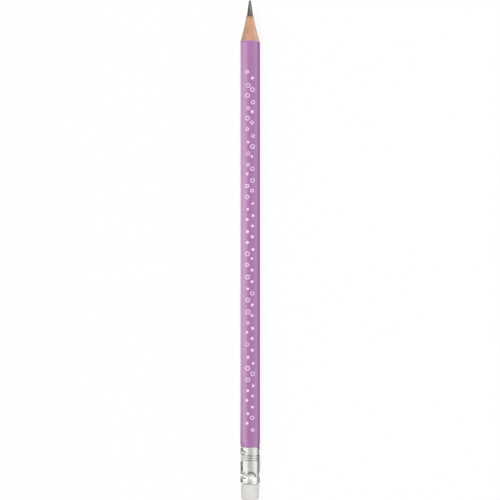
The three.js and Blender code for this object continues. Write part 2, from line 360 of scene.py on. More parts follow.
class Graph:
    """A node tree in the making."""

    def __init__(self, tree):
        self.tree = tree

    def node(self, kind, inputs=None, **options):
        """Adds a node, sets its options and feeds its inputs, by name or number."""
        made = self.tree.nodes.new(kind)
        for option, value in options.items():
            setattr(made, option, value)
        for key, value in (inputs or {}).items():
            self.feed(made.inputs[key], value)
        return made

    def feed(self, entry, value):
        """Links a wire to an input, or sets the input to a constant."""
        if isinstance(value, Wire):
            self.tree.links.new(value.socket, entry)
        else:
            entry.default_value = value

    def wire(self, node, output=0):
        """One output of a node."""
        return Wire(self, node.outputs[output])

    def result(self, kind, inputs=None, **options):
        """The first output of a new node."""
        return self.wire(self.node(kind, inputs, **options))

    def split(self, vector):
        """The three parts of a vector."""
        node = self.node("ShaderNodeSeparateXYZ", {0: vector})
        return tuple(self.wire(node, part) for part in range(3))

    def joined(self, x, y, z):
        """A vector from its three parts."""
        return self.result("ShaderNodeCombineXYZ", {0: x, 1: y, 2: z})


class Finish(Graph):
    """A material in the making: one Principled shader, with patterns on Object coordinates."""

    def __init__(self, name, **constants):
        self.material = bpy.data.materials.new(name)
        self.material.use_nodes = True
        super().__init__(self.material.node_tree)
        self.shader = self.tree.nodes["Principled BSDF"]
        self.coordinates = self.wire(self.node("ShaderNodeTexCoord"), "Object")
        for socket, value in constants.items():
            self.shader.inputs[socket.replace("_", " ")].default_value = value

    def noise(self, cells, detail=3.0, distortion=0.0):
        """Noise with so many cells to a millimetre along X, Y and Z."""
        scale = [number / MM for number in cells]
        placed = self.result("ShaderNodeMapping", {"Vector": self.coordinates, "Scale": scale})
        inputs = {"Vector": placed, "Scale": 1.0, "Detail": detail, "Distortion": distortion}
        return self.result("ShaderNodeTexNoise", inputs)

    def along(self, start, end):
        """0 at one place along the pencil and 1 at another."""
        return self.split(self.coordinates)[0].spread(start, end)

    def attribute(self, name):
        """A number stored on the mesh."""
        return self.wire(self.node("ShaderNodeAttribute", attribute_name=name), "Fac")

    def blend(self, share, first, second):
        """A colour between two, each a wire or a constant."""
        inputs = {MIX_SHARE: share, MIX_FIRST: rgba(first), MIX_SECOND: rgba(second)}
        return self.wire(self.node("ShaderNodeMix", inputs, data_type="RGBA"), MIX_COLOUR)

    def paint(self, tone):
        """Feeds the base colour."""
        self.feed(self.shader.inputs["Base Color"], tone)

    def vary(self, socket, share, low, high):
        """Feeds one of the shader's inputs, between two values."""
        self.feed(self.shader.inputs[socket], share * (high - low) + low)

    def emboss(self, *layers):
        """Feeds the normal from layers of bump, each a height and its depth."""
        normal = None
        for height, depth in layers:
            inputs = {"Height": height, "Distance": depth}
            if normal:
                inputs["Normal"] = normal
            normal = self.result("ShaderNodeBump", inputs)
        self.feed(self.shader.inputs["Normal"], normal)


def rgba(tone):
    """A wire as it is, or a colour with its alpha."""
    return tone if isinstance(tone, Wire) else (*tone, 1.0)


def shaded(tone, factor):
    """A colour made darker or lighter."""
    return tuple(min(part * factor, 1.0) for part in tone)


# Finishes

def lacquer_finish(colours):
    """Lilac lacquer with a soft gloss, faint drawn streaks and a fine ripple."""
    gloss = {"Metallic": 0.4, "Specular_IOR_Level": 1.0, "Coat_Weight": 1.0, "Coat_Roughness": 0.28}
    finish = Finish("lilac_lacquer", **gloss)
    streaks = finish.noise((0.03, 1.1, 1.1)).spread(*NOISE_SPAN)
    finish.paint(finish.blend(streaks, shaded(colours.lacquer, 0.94), shaded(colours.lacquer, 1.04)))
    finish.vary("Roughness", finish.noise((0.2, 0.6, 0.6)).spread(*NOISE_SPAN), 0.32, 0.42)
    ripple = finish.noise((0.25, 1.2, 1.2))
    grain = finish.noise((6.0, 6.0, 6.0), detail=1.0)
    finish.emboss((ripple, 0.01 * MM), (grain, 0.002 * MM))
    return finish.material


def undercoat_finish(colours):
    """Pale undercoat on the cut edge of the lacquer, scuffed by the grinding."""
    finish = Finish("cut_undercoat")
    scuffs = finish.noise((1.5, 3.0, 3.0)).spread(0.35, 0.65)
    finish.paint(finish.blend(scuffs, shaded(colours.undercoat, 0.85), colours.undercoat))
    finish.vary("Roughness", scuffs, 0.5, 0.7)
    finish.emboss((finish.noise((8.0, 2.0, 2.0)), 0.01 * MM))
    return finish.material


def ink_finish(colours):
    """Pale printing ink, a little thin in places."""
    finish = Finish("pale_ink", Specular_IOR_Level=0.5)
    thin = finish.noise((3.0, 3.0, 3.0), detail=4.0).spread(0.25, 0.45)
    finish.paint(finish.blend(thin, shaded(colours.ink, 0.82), colours.ink))
    finish.vary("Roughness", thin, 0.35, 0.5)
    finish.emboss((finish.noise((9.0, 9.0, 9.0)), 0.003 * MM))
    return finish.material


def wood_finish(name, tone, shift):
    """Bare wood with long grain, short dark pores and a dusting of graphite round the lead."""
    finish = Finish(name, Specular_IOR_Level=0.25)
    plain = finish.coordinates
    finish.coordinates = finish.result("ShaderNodeVectorMath", {0: plain, 1: (shift, shift, 0.0)})
    grain = finish.noise((0.05, 1.3, 1.3), detail=4.0, distortion=0.6).spread(*NOISE_SPAN)
    fibres = finish.noise((0.35, 11.0, 11.0), detail=2.0)
    pores = fibres.spread(0.62, 0.72)
    finish.coordinates = plain
    body = finish.blend(grain, shaded(tone, 0.80), shaded(tone, 1.14))
    pored = finish.blend(pores * 0.45, body, shaded(tone, 0.42))
    dust = finish.along(LEAD_EXIT_X - GRAPHITE_DUST_REACH, LEAD_EXIT_X).math("POWER", 2.0)
    finish.paint(finish.blend(dust * 0.55, pored, shaded(tone, 0.3)))
    finish.vary("Roughness", grain, 0.62, 0.78)
    lathe_marks = finish.noise((5.0, 0.4, 0.4), detail=2.0)
    finish.emboss((fibres, 0.03 * MM), (lathe_marks, 0.012 * MM))
    return finish.material


def graphite_finish(colours):
    """Ground graphite: dark, with a grey sheen and fine grinding lines round the point."""
    finish = Finish("ground_graphite", IOR=2.1)
    specks = finish.noise((7.0, 7.0, 7.0), detail=4.0).spread(0.35, 0.65)
    ground = finish.blend(specks, shaded(colours.graphite, 0.75), shaded(colours.graphite, 1.3))
    wood_dust = finish.along(LEAD_EXIT_X + WOOD_DUST_REACH, LEAD_EXIT_X)
    finish.paint(finish.blend(wood_dust * 0.8, ground, shaded(colours.cap_wood, 0.27)))
    finish.vary("Specular IOR Level", wood_dust, 0.7, 0.15)
    lines = finish.noise((11.0, 0.5, 0.5), detail=2.0)
    finish.vary("Roughness", specks, 0.18, 0.28)
    finish.emboss((lines, 0.004 * MM), (specks, 0.002 * MM))
    return finish.material


def metal_finish(colours):
    """Bright rolled aluminium, with painted shade in its dents and rings, a painted highlight below the
    crimps, and lighter at the rim's edge.
    """
    finish = Finish("rolled_aluminium", Metallic=1.0)
    dent_shade = finish.attribute("dent_shade")
    highlight_and_edge = finish.attribute("highlight_and_edge")
    clouds = finish.noise((0.5, 0.5, 0.5)).spread(*NOISE_SPAN)
    bright = finish.blend(clouds, shaded(colours.metal, 0.94), shaded(colours.metal, 1.03))
    # Painted highlight below the crimps, and lighter metal at the rim's edge
    highlit = finish.blend(highlight_and_edge, bright, shaded(colours.metal, 1.6))
    # Painted shade: darker in the dents and rings
    finish.paint(finish.blend(dent_shade * 0.6, highlit, shaded(colours.metal, 0.35)))
    finish.vary("Roughness", (clouds * 0.5 + dent_shade * 0.5).clamped(0.0, 1.0), 0.12, 0.24)
    rolling = finish.noise((14.0, 0.35, 0.35), detail=2.0)
    drawing = finish.noise((0.12, 7.0, 7.0), detail=2.0)
    finish.emboss((rolling, 0.0025 * MM), (drawing, 0.003 * MM))
    return finish.material


def rubber_finish(colours):
    """Matt off-white rubber, faintly mottled and finely grained."""
    finish = Finish("white_rubber", Specular_IOR_Level=0.3)
    mottle = finish.noise((0.7, 0.7, 0.7), detail=5.0).spread(*NOISE_SPAN)
    finish.paint(finish.blend(mottle, shaded(colours.rubber, 0.93), shaded(colours.rubber, 1.03)))
    finish.vary("Roughness", mottle, 0.6, 0.78)
    grain = finish.noise((6.0, 6.0, 6.0), detail=3.0)
    finish.emboss((grain, 0.012 * MM))
    return finish.material


# Meshes

def axis_point(x, direction, reach):
    """The point at a reach from the axis, in a direction from +Y up towards +Z."""
    return Vector((x, reach * math.cos(direction), AXIS_Z + reach * math.sin(direction)))


def directions(sides):
    """Even directions all round the axis."""
    return [TURN * side / sides for side in range(sides)]


def mixed(first, second, share):
    """The value between two."""
    return first + (second - first) * share


def shares(steps):
    """Even shares of a whole, the last of them 1."""
    return [step / steps for step in range(1, steps + 1)]


def skin(rings, is_loop=False):
    """A shell over rings of points. One point alone is a pole, and a loop's last ring meets its first."""
    shell = bmesh.new()
    rows = [[shell.verts.new(point) for point in ring] for ring in rings]
    following = rows[1:] + rows[:1] if is_loop else rows[1:]
    for low, high in zip(rows, following):
        for side in range(max(len(low), len(high))):
            corners = [
                low[side % len(low)],
                low[(side + 1) % len(low)],
                high[(side + 1) % len(high)],
                high[side % len(high)],
            ]
            shell.faces.new(dict.fromkeys(corners))
    return shell


def finished_mesh(name, shell, *materials):
    """A closed mesh from a shell, facing outwards and smooth but for its crisp edges."""
    bmesh.ops.recalc_face_normals(shell, faces=shell.faces)
    if any(not edge.is_manifold for edge in shell.edges):
        raise RuntimeError(f"{name} isn't closed")
    mesh = bpy.data.meshes.new(name)
    shell.to_mesh(mesh)
    shell.free()
    mesh.shade_smooth()
    mesh.set_sharp_from_angle(angle=CREASE_ANGLE)
    for material in materials:
        mesh.materials.append(material)
    return mesh


def add_object(name, data):
    """Puts an object in the scene."""
    added = bpy.data.objects.new(name, data)
    bpy.context.scene.collection.objects.link(added)
    return added


def add_piece(name, mesh, slot, *nodes):
    """Puts a finished mesh in the scene, riding on the pencil in place of its frame nodes."""
    piece = add_object(name, mesh)
    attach(piece, "root")
    if nodes:
        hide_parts(*nodes)


def lathe(profile, sides):
    """Rings round the axis from pairs of a place and a reach, with a pole where the reach is 0."""
    return [
        [axis_point(x, direction, reach) for direction in directions(sides)]
        if reach > 0
        else [axis_point(x, 0.0, 0.0)]
        for x, reach in profile
    ]


# Barrel form

def section_reach(direction, inset=0.0):
    """Reach of the barrel's section, set in by an even thickness."""
    turned = (direction - RESTING_FACE) % THIRD
    from_face = min(turned, THIRD - turned)
    reach = (FACE_REACH - inset) / math.cos(from_face)
    if reach * math.sin(from_face) <= FLAT_WIDTH / 2:
        return reach
    from_corner = THIRD / 2 - from_face
    offset = CORNER_REACH - CORNER_RADIUS
    across = offset * math.sin(from_corner)
    return offset * math.cos(from_corner) + math.sqrt((CORNER_RADIUS - inset) ** 2 - across**2)


def neck_reach(direction, inset, x, sizes):
    """Reach of a barrel layer, which comes down to a circle just below the ferrule's mouth."""
    free = min((x - SHOULDER_X) / sizes.neck, 1.0)
    end = RIM_REACH - sizes.rim_flare - sizes.neck_step
    corner = mixed(CORNER_REACH, end, (1 - free) ** 2)
    return min(section_reach(direction, inset), corner - inset)


def cone_top(sizes):
    """Reach of the sharpened wood where the lead comes out."""
    return LEAD_RADIUS + sizes.wood_lip


def cone_share(direction, inset, sizes):
    """How far up the cone a layer of the barrel comes to light."""
    outside = section_reach(direction)
    depth = outside - section_reach(direction, inset)
    slope = outside - cone_top(sizes) + 4 * sizes.hollow
    return 2 * depth / (slope + math.sqrt(slope**2 - 16 * sizes.hollow * depth))


def paint_edge(direction, sizes):
    """Place of the cut paint edge: furthest forward on the middle of a face, and a little ragged."""
    share = cone_share(RESTING_FACE, sizes.lacquer, sizes)
    front = (COAT_HIGH.x - share * LEAD_EXIT_X) / (1 - share)
    reach = (section_reach(direction) - FACE_REACH) / (CORNER_REACH - FACE_REACH)
    ragged = (noise.noise(axis_point(0.0, direction, RAGGED_SAMPLING) / MM) - 1) * RAGGED_DEPTH
    return front - sizes.scallop * reach + ragged


def cone_point(direction, share, sizes):
    """A point of the slightly hollow cone, from the paint edge at 0 to the lead at 1."""
    x = mixed(paint_edge(direction, sizes), LEAD_EXIT_X, share)
    straight = mixed(section_reach(direction), cone_top(sizes), share)
    return axis_point(x, direction, straight - 4 * sizes.hollow * share * (1 - share))


def barrel_places(sizes):
    """Places of the barrel's rings, closer together in the neck."""
    neck = [SHOULDER_X + sizes.neck * step / NECK_STEPS for step in range(NECK_STEPS)]
    start = SHOULDER_X + sizes.neck
    end = paint_edge(RESTING_FACE, sizes) - 2 * sizes.scallop
    return neck + [mixed(start, end, step / BARREL_STEPS) for step in range(BARREL_STEPS + 1)]


def barrel_rings(turns, inset, sizes):
    """Rings of a barrel layer between the ferrule and the cone."""
    return [
        [axis_point(x, turn, neck_reach(turn, inset, x, sizes)) for turn in turns]
        for x in barrel_places(sizes)
    ]


def cone_ring(turns, inset, climb, sizes):
    """A ring on the cone, part of the way from where a layer comes to light up to the lead."""
    shares = [mixed(cone_share(turn, inset, sizes), 1.0, climb) for turn in turns]
    return [cone_point(turn, share, sizes) for turn, share in zip(turns, shares)]


# Slats

def slat_outlines(side, sizes):
    """Closed outlines of a slat, from the end of its tenon to the top of its cone."""
    turns = [side * TURN / 2 * step / SLAT_SIDES for step in range(SLAT_SIDES + 1)]
    inset = sizes.lacquer + sizes.bond
    bore = RIM_REACH - sizes.rim_flare - sizes.wall
    tenon = bore - sizes.stake_depth - sizes.fit
    rings = [
        [axis_point(x, turn, min(tenon, section_reach(turn, inset))) for turn in turns]
        for x in (TENON_X, SHOULDER_X - sizes.bond)
    ]
    rings += barrel_rings(turns, inset, sizes)
    rings += [cone_ring(turns, inset, step / CONE_STEPS, sizes) for step in range(CONE_STEPS + 1)]
    return [slat_outline(ring, side, sizes) for ring in rings]


def slat_outline(outside, side, sizes):
    """One outline: over the outside from glue edge to glue edge, and back through the groove."""
    inside = []
    for point in reversed(outside):
        spoke = Vector((0.0, point.y, point.z - AXIS_Z)).normalized()
        inside.append(Vector((point.x, 0.0, AXIS_Z)) + spoke * (LEAD_RADIUS + sizes.bond))
    outline = outside + inside
    for point in outline:
        point.z = AXIS_Z + side * max(abs(point.z - AXIS_Z), sizes.bond / 2)
    return outline


def close_slat(shell, outline_length):
    """Caps both ends of a slat with strips between its outside and its groove."""
    shell.verts.ensure_lookup_table()
    for start in (0, len(shell.verts) - outline_length):
        ring = shell.verts[start : start + outline_length]
        for step in range(outline_length // 2 - 1):
            shell.faces.new((ring[step], ring[step + 1], ring[-2 - step], ring[-1 - step]))


# Geometry node trees

def geometry_tree(name, values):
    """A geometry tree with a named input for each value, and the wires of those inputs."""
    tree = bpy.data.node_groups.new(name, "GeometryNodeTree")
    tree.interface.new_socket("Geometry", in_out="OUTPUT", socket_type="NodeSocketGeometry")
    for label, value in values.items():
        kind = "NodeSocketInt" if isinstance(value, int) else "NodeSocketFloat"
        tree.interface.new_socket(label, in_out="INPUT", socket_type=kind)
    graph = Graph(tree)
    entry = graph.node("NodeGroupInput")
    return graph, {label: graph.wire(entry, label) for label in values}


def finish_tree(graph, geometry, material):
    """Ends a tree in Realize Instances and Set Material."""
    real = graph.result("GeometryNodeRealizeInstances", {0: geometry})
    dressed = graph.result("GeometryNodeSetMaterial", {"Geometry": real, "Material": material})
    graph.node("NodeGroupOutput", {0: dressed})


def grown_mesh(name, tree, values):
    """The plain mesh that a tree grows from these values."""
    empty = bpy.data.meshes.new(name)
    holder = add_object(name, empty)
    modifier = holder.modifiers.new(name, "NODES")
    modifier.node_group = tree
    for item in tree.interface.items_tree:
        if item.in_out == "INPUT":
            modifier[item.identifier] = values[item.name]
    depsgraph = bpy.context.evaluated_depsgraph_get()
    grown = bpy.data.meshes.new_from_object(holder.evaluated_get(depsgraph), depsgraph=depsgraph)
    if not grown.polygons:
        raise RuntimeError(f"{name} grew no faces")
    shell = bmesh.new()
    shell.from_mesh(grown)
    materials = list(grown.materials)
    bpy.data.objects.remove(holder)
    for spare in (empty, grown):
        bpy.data.meshes.remove(spare)
    return finished_mesh(name, shell, *materials)


# Ferrule

# Properties that the ferrule's tree takes as they are
FERRULE_SIZES = (
    "wall", "rim_flare", "flare_length", "rim_curl", "curl_length",
    "ring_count", "ring_place", "ring_pitch", "ring_width", "ring_depth",
    "stake_place", "stake_width", "stake_height", "stake_depth", "stake_wall",
    "crimp_width", "crimp_height", "crimp_depth", "crimp_wall", "crimp_slant",
)


def ferrule_values(sizes):
    """Inputs of the ferrule's tree, most of them named as the properties are."""
    values = {name.replace("_", " ").title(): getattr(sizes, name) for name in FERRULE_SIZES}
    for row, turns in (("Stake", sizes.stake_angles), ("Crimp", sizes.crimp_angles)):
        values |= {f"{row} Angle {number}": turn for number, turn in enumerate(turns, 1)}
    return values | {
        "Columns": TUBE_COLUMNS + 1,
        "Rows": TUBE_ROWS + 1,
        "Mouth": MOUTH_X,
        "Axis Height": AXIS_Z,
        "Length": MOUTH_X - RIM_X,
        "Radius": RIM_REACH - sizes.rim_flare,
        "Stake Slant": 0.0,
        "Crimp Place": MOUTH_X - RIM_X - sizes.crimp_from_rim,
    }


def soft_bump(offset, width):
    """1 in the middle of a width and 0 at its edges."""
    return (-(offset * 2.0 / width).squared() + 1.0).math("MAXIMUM", 0.0).squared()


def nearest_turn(size, row, direction):
    """Turn from the nearest dent of a row."""
    dents = [wire for label, wire in size.items() if label.startswith(f"{row} Angle")]
    nearest, *others = [(direction - dent).math("WRAP", TURN / 2, -TURN / 2) for dent in dents]
    for turn in others:
        closer = turn.math("ABSOLUTE").math("LESS_THAN", nearest.math("ABSOLUTE"))
        nearest = nearest + (turn - nearest) * closer
    return nearest


def dent_row(size, row, offset, place):
    """How far one row of slanted oval dents goes in, from 0 to 1."""
    across = offset * size["Radius"]
    along = place - size[f"{row} Place"]
    sine = size[f"{row} Slant"].math("SINE")
    cosine = size[f"{row} Slant"].math("COSINE")
    long_way = (across * cosine - along * sine) * 2.0 / size[f"{row} Width"]
    short_way = (across * sine + along * cosine) * 2.0 / size[f"{row} Height"]
    from_edge = -(long_way.squared() + short_way.squared()).math("SQRT") + 1.0
    return (from_edge / size[f"{row} Wall"]).eased()


def rolled_rings(size, place):
    """Depth of the rolled rings."""
    half_pitch = size["Ring Pitch"] * 0.5
    from_first = place - size["Ring Place"]
    offset = from_first.math("WRAP", half_pitch, -half_pitch)
    after_start = from_first.math("GREATER_THAN", -half_pitch)
    before_end = from_first.math("LESS_THAN", size["Ring Count"] * size["Ring Pitch"] - half_pitch)
    return soft_bump(offset, size["Ring Width"]) * size["Ring Depth"] * after_start * before_end


def rim_form(size, place):
    """How far the rim stands out, with its edge turned in again."""
    from_rim = size["Length"] - place
    flare_run = size["Flare Length"] - size["Curl Length"]
    flare = ((size["Flare Length"] - from_rim) / flare_run).eased() * size["Rim Flare"]
    turned = (-(from_rim / size["Curl Length"]) + 1.0).math("MAXIMUM", 0.0).squared()
    return flare - turned * size["Rim Curl"]


def wall_walk(size, share):
    """A walk round the tube's wall: down the outside, round the rim, up the inside, round the mouth.

    Gives the distance from the mouth and the depth below the outside.
    """
    lip = size["Wall"] * 0.5
    straight = size["Length"] - size["Wall"]
    bend = lip * (TURN / 2)
    walked = share * (straight + bend) * 2.0
    down = walked.clamped(0.0, straight)
    rim_turn = ((walked - straight) / bend).clamped(0.0, 1.0) * (TURN / 2)
    up = (walked - straight - bend).clamped(0.0, straight)
    mouth_turn = ((walked - straight * 2.0 - bend) / bend).clamped(0.0, 1.0) * (TURN / 2)
    place = lip + down + lip * rim_turn.math("SINE") - up - lip * mouth_turn.math("SINE")
    depth = lip * (mouth_turn.math("COSINE") - rim_turn.math("COSINE"))
    return place, depth


def stored(graph, geometry, name, value):
    """The geometry with a number stored at each point."""
    inputs = {"Geometry": geometry, "Name": name, "Value": value}
    options = {"data_type": "FLOAT", "domain": "POINT"}
    return graph.result("GeometryNodeStoreNamedAttribute", inputs, **options)


def ferrule_painted_light(size, direction, place, crimp_turn, stakes, crimps, rings):
    """Masks of painted light on the metal: painted shade in the dents and rings, and a painted highlight
    below the crimps, with lighter metal at the rim's edge.
    """
    before = dent_row(size, "Crimp", crimp_turn, place - WALL_STEP)
    after = dent_row(size, "Crimp", crimp_turn, place + WALL_STEP)
    # Painted shade on the walls of the dents, more on the upper walls of the crimps
    stake_wall_shade = (stakes - stakes.squared()) * STAKE_SHADE
    upper = ((after - before) * LOWER_WALL_FADE + 1.0).clamped(0.0, 1.0)
    crimp_wall_shade = (crimps - crimps.squared()) * upper * CRIMP_SHADE
    # The ring shade and the crimp highlight are left off on the lit side
    from_lit = (direction - LIT_DIRECTION).math("WRAP", TURN / 2, -TURN / 2)
    away_from_light = -soft_bump(from_lit, LIT_WIDTH) + 1.0
    ring_shade = rings / size["Ring Depth"] * away_from_light
    dent_shade = (ring_shade + stake_wall_shade + crimp_wall_shade).clamped(0.0, 1.0)
    # Painted highlight below the crimps, away from the lit side, and lighter metal towards the rim's edge
    below = dent_row(size, "Crimp", crimp_turn, place - HIGHLIGHT_REACH) * (-dent_shade + 1.0)
    edge = (place - size["Length"]) / size["Curl Length"] + 1.0
    highlight_and_edge = (below * away_from_light * HIGHLIGHT_STRENGTH + edge.math("MAXIMUM", 0.0)).clamped(0.0, 1.0)
    return dent_shade, highlight_and_edge


def ferrule_tree(values, material):
    """The crimped tube: a grid wrapped round the axis and round its own wall, then rolled and dented."""
    graph, size = geometry_tree("Crimped ferrule", values)
    grid = graph.result(
        "GeometryNodeMeshGrid",
        {"Size X": 1.0, "Size Y": 1.0, "Vertices X": size["Columns"], "Vertices Y": size["Rows"]},
    )
    spot = graph.split(graph.result("GeometryNodeInputPosition"))
    direction = (spot[0] + 0.5) * TURN
    place, depth = wall_walk(size, spot[1] + 0.5)
    stakes = dent_row(size, "Stake", nearest_turn(size, "Stake", direction), place)
    crimp_turn = nearest_turn(size, "Crimp", direction)
    crimps = dent_row(size, "Crimp", crimp_turn, place)
    dents = stakes * size["Stake Depth"] + crimps * size["Crimp Depth"]
    rings = rolled_rings(size, place)
    reach = size["Radius"] + rim_form(size, place) - rings - dents - depth
    wrapped = graph.joined(
        size["Mouth"] - place,
        reach * direction.math("COSINE"),
        reach * direction.math("SINE") + size["Axis Height"],
    )
    dent_shade, highlight_and_edge = ferrule_painted_light(size, direction, place, crimp_turn, stakes, crimps, rings)
    # Stores the masks of painted shade and painted highlight
    marked = stored(graph, grid, "dent_shade", dent_shade)
    marked = stored(graph, marked, "highlight_and_edge", highlight_and_edge)
    tube = graph.result("GeometryNodeSetPosition", {"Geometry": marked, "Position": wrapped})
    seamed = graph.result("GeometryNodeMergeByDistance", {"Geometry": tube, "Distance": SEAM_WIDTH})
    finish_tree(graph, seamed, material)
    return graph.tree


# Printed marks

def mark_values(sizes):
    """Inputs of the print's tree."""
    front = paint_edge(PRINTED_FACE, sizes) - sizes.mark_front
    back = SHOULDER_X + sizes.mark_back
    return {
        "Count": sizes.mark_count,
        "Start": front,
        "Pitch": (back - front) / (sizes.mark_count - 1),
        "Row": sizes.mark_row,
        "Size": sizes.mark_size,
        "Stroke": sizes.mark_stroke,
        "Ink": sizes.ink,
        "Face Reach": FACE_REACH,
        "Flat Width": FLAT_WIDTH,
        "Corner Radius": CORNER_RADIUS,
        "Axis Height": AXIS_Z,
        "Seed": PRINT_SEED,
    }


def outline_mark(graph, size, corners, cuts):
    """A printed outline: a diamond, or a ring where it has many corners."""
    inputs = {"Resolution": corners, "Radius": size["Size"]}
    path = graph.result("GeometryNodeCurvePrimitiveCircle", inputs)
    fine = graph.result("GeometryNodeSubdivideCurve", {"Curve": path, "Cuts": cuts})
    inputs = {"Width": size["Stroke"], "Height": size["Ink"]}
    section = graph.result("GeometryNodeCurvePrimitiveQuadrilateral", inputs)
    return graph.result("GeometryNodeCurveToMesh", {"Curve": fine, "Profile Curve": section})


def solid_mark(graph, size, corners, share):
    """A printed spot: a diamond, or a dot where it has many corners."""
    inputs = {
        "Vertices": corners,
        "Fill Segments": SPOT_SEGMENTS,
        "Radius": size["Size"] * share,
        "Depth": size["Ink"],
    }
    spot = graph.result("GeometryNodeMeshCylinder", inputs)
    return graph.result("GeometryNodeSubdivideMesh", {"Mesh": spot, "Level": SPOT_LEVEL})


def random_number(graph, size, low, high, stream):
    """A fixed random number for each point."""
    inputs = {RANDOM_LOW: low, RANDOM_HIGH: high, "Seed": size["Seed"] + float(stream)}
    node = graph.node("FunctionNodeRandomValue", inputs, data_type="FLOAT")
    return graph.wire(node, RANDOM_NUMBER)


def marks_tree(values, material):
    """Small rings, diamonds and dots in two rows, laid on the barrel's printed face."""
    graph, size = geometry_tree("Printed marks", values)
    index = graph.result("GeometryNodeInputIndex")
    side = index.math("MODULO", 2.0) * 2.0 - 1.0
    start = graph.joined(size["Start"], 0.0, 0.0)
    step = graph.joined(size["Pitch"], 0.0, 0.0)
    inputs = {"Count": size["Count"], "Start Location": start, "Offset": step}
    line = graph.result("GeometryNodeMeshLine", inputs, mode="OFFSET")
    drift = random_number(graph, size, -MARK_DRIFT, MARK_DRIFT, 1)
    rows = graph.joined(size["Pitch"] * drift, size["Row"] * (side + drift), 0.0)
    spots = graph.result("GeometryNodeSetPosition", {"Geometry": line, "Offset": rows})
    kinds = graph.node("GeometryNodeGeometryToInstance")
    marks = (
        outline_mark(graph, size, RING_CORNERS, 0),
        outline_mark(graph, size, DIAMOND_CORNERS, DIAMOND_CUTS),
        solid_mark(graph, size, DOT_CORNERS, DOT_SHARE),
        solid_mark(graph, size, DIAMOND_CORNERS, 1.0),
    )
    for mark in marks:
        graph.feed(kinds.inputs[0], mark)
    turn = graph.joined(0.0, 0.0, random_number(graph, size, 0.0, TURN, 2))
    scale = random_number(graph, size, *MARK_SCALES, 3)
    pick = random_number(graph, size, 0.0, len(marks) - PICK_MARGIN, 4)
    inputs = {
        "Points": spots,
        "Instance": graph.wire(kinds),
        "Pick Instance": True,
        "Instance Index": pick.math("FLOOR"),
        "Rotation": graph.result("FunctionNodeEulerToRotation", {0: turn}),
        "Scale": graph.joined(scale, scale, 1.0),
    }
    scattered = graph.result("GeometryNodeInstanceOnPoints", inputs)
    real = graph.result("GeometryNodeRealizeInstances", {0: scattered})
    inputs = {"Geometry": real, "Position": laid_position(graph, size)}
    finish_tree(graph, graph.result("GeometryNodeSetPosition", inputs), material)
    return graph.tree


def laid_position(graph, size):
    """Where a point of the flat print comes to lie on the barrel."""
    along, across, height = graph.split(graph.result("GeometryNodeInputPosition"))
    past_flat = (across.math("ABSOLUTE") - size["Flat Width"] * 0.5).math("MAXIMUM", 0.0)
    radius = size["Corner Radius"]
    fall = radius - (radius.squared() - past_flat.squared()).math("SQRT")
    reach = size["Face Reach"] - fall + height
    outward = (math.cos(PRINTED_FACE), math.sin(PRINTED_FACE))
    sideways = (-outward[1], outward[0])
    return graph.joined(
        along,
        reach * outward[0] + across * sideways[0],
        reach * outward[1] + across * sideways[1] + size["Axis Height"],
    )


# Operators

class PENCIL_OT_lead(bpy.types.Operator):
    """Makes the graphite core with its ground point"""

    bl_idname = "pencil.lead"
    bl_label = "Lead"

    def execute(self, context):
        sizes = context.scene.pencil_sizes
        tip = sizes.tip_radius
        slope = math.atan2(LEAD_RADIUS - tip, TIP_X - LEAD_EXIT_X - tip)
        shoulder = TIP_X - tip * (1 - math.sin(slope))
        profile = [(TENON_X, 0.0), (TENON_X, LEAD_RADIUS), (LEAD_EXIT_X, LEAD_RADIUS)]
        for step in range(1, LEAD_STEPS):
            share = step / LEAD_STEPS
            ridge = noise.noise((step * RIDGE_SAMPLING, 0.0, 0.0)) * RIDGE_DEPTH
            reach = mixed(LEAD_RADIUS, tip * math.cos(slope), share) + ridge
            profile.append((mixed(LEAD_EXIT_X, shoulder, share), reach))
        for step in range(TIP_STEPS):
            turn = mixed(slope, TURN / 4, step / TIP_STEPS)
            profile.append((TIP_X - tip * (1 - math.sin(turn)), tip * math.cos(turn)))
        profile.append((TIP_X, 0.0))
        finish = graphite_finish(context.scene.pencil_colours)
        mesh = finished_mesh("lead_core", skin(lathe(profile, LEAD_SIDES)), finish)
        add_piece("lead_core", mesh, "graphite", "graphite_lead")
        return {"FINISHED"}


class PENCIL_OT_slats(bpy.types.Operator):
    """Makes the two glued wood slats"""

    bl_idname = "pencil.slats"
    bl_label = "Slats"

    def execute(self, context):
        sizes = context.scene.pencil_sizes
        colours = context.scene.pencil_colours
        slats = (
            ("wood_base", "base_slat", -1, wood_finish("base_wood", colours.base_wood, BASE_SHIFT)),
            ("wood_cap", "cap_slat", 1, wood_finish("cap_wood", colours.cap_wood, CAP_SHIFT)),
        )
        for name, node, side, finish in slats:
            outlines = slat_outlines(side, sizes)
            shell = skin(outlines)
            close_slat(shell, len(outlines[0]))
            add_piece(name, finished_mesh(name, shell, finish), "wood", node)
        return {"FINISHED"}


class PENCIL_OT_lacquer(bpy.types.Operator):
    """Makes the lacquer skin of the barrel"""

    bl_idname = "pencil.lacquer"
    bl_label = "Lacquer"

    def execute(self, context):
        sizes = context.scene.pencil_sizes
        colours = context.scene.pencil_colours
        turns = directions(BARREL_SIDES)
        outside = barrel_rings(turns, 0.0, sizes)
        inside = barrel_rings(turns, sizes.lacquer, sizes)[::-1]
        colour_depth = sizes.lacquer - sizes.undercoat
        cut = [cone_ring(turns, inset, 0.0, sizes) for inset in (0.0, colour_depth, sizes.lacquer)]
        shell = skin(outside + cut + inside, is_loop=True)
        shell.faces.ensure_lookup_table()
        undercoat_row = len(outside) + 1
        for face in shell.faces[undercoat_row * BARREL_SIDES : (undercoat_row + 1) * BARREL_SIDES]:
            face.material_index = 1
        finishes = (lacquer_finish(colours), undercoat_finish(colours))
        mesh = finished_mesh("lacquer_skin", shell, *finishes)
        add_piece("lacquer_skin", mesh, "lacquer", "lacquer_coat")
        return {"FINISHED"}


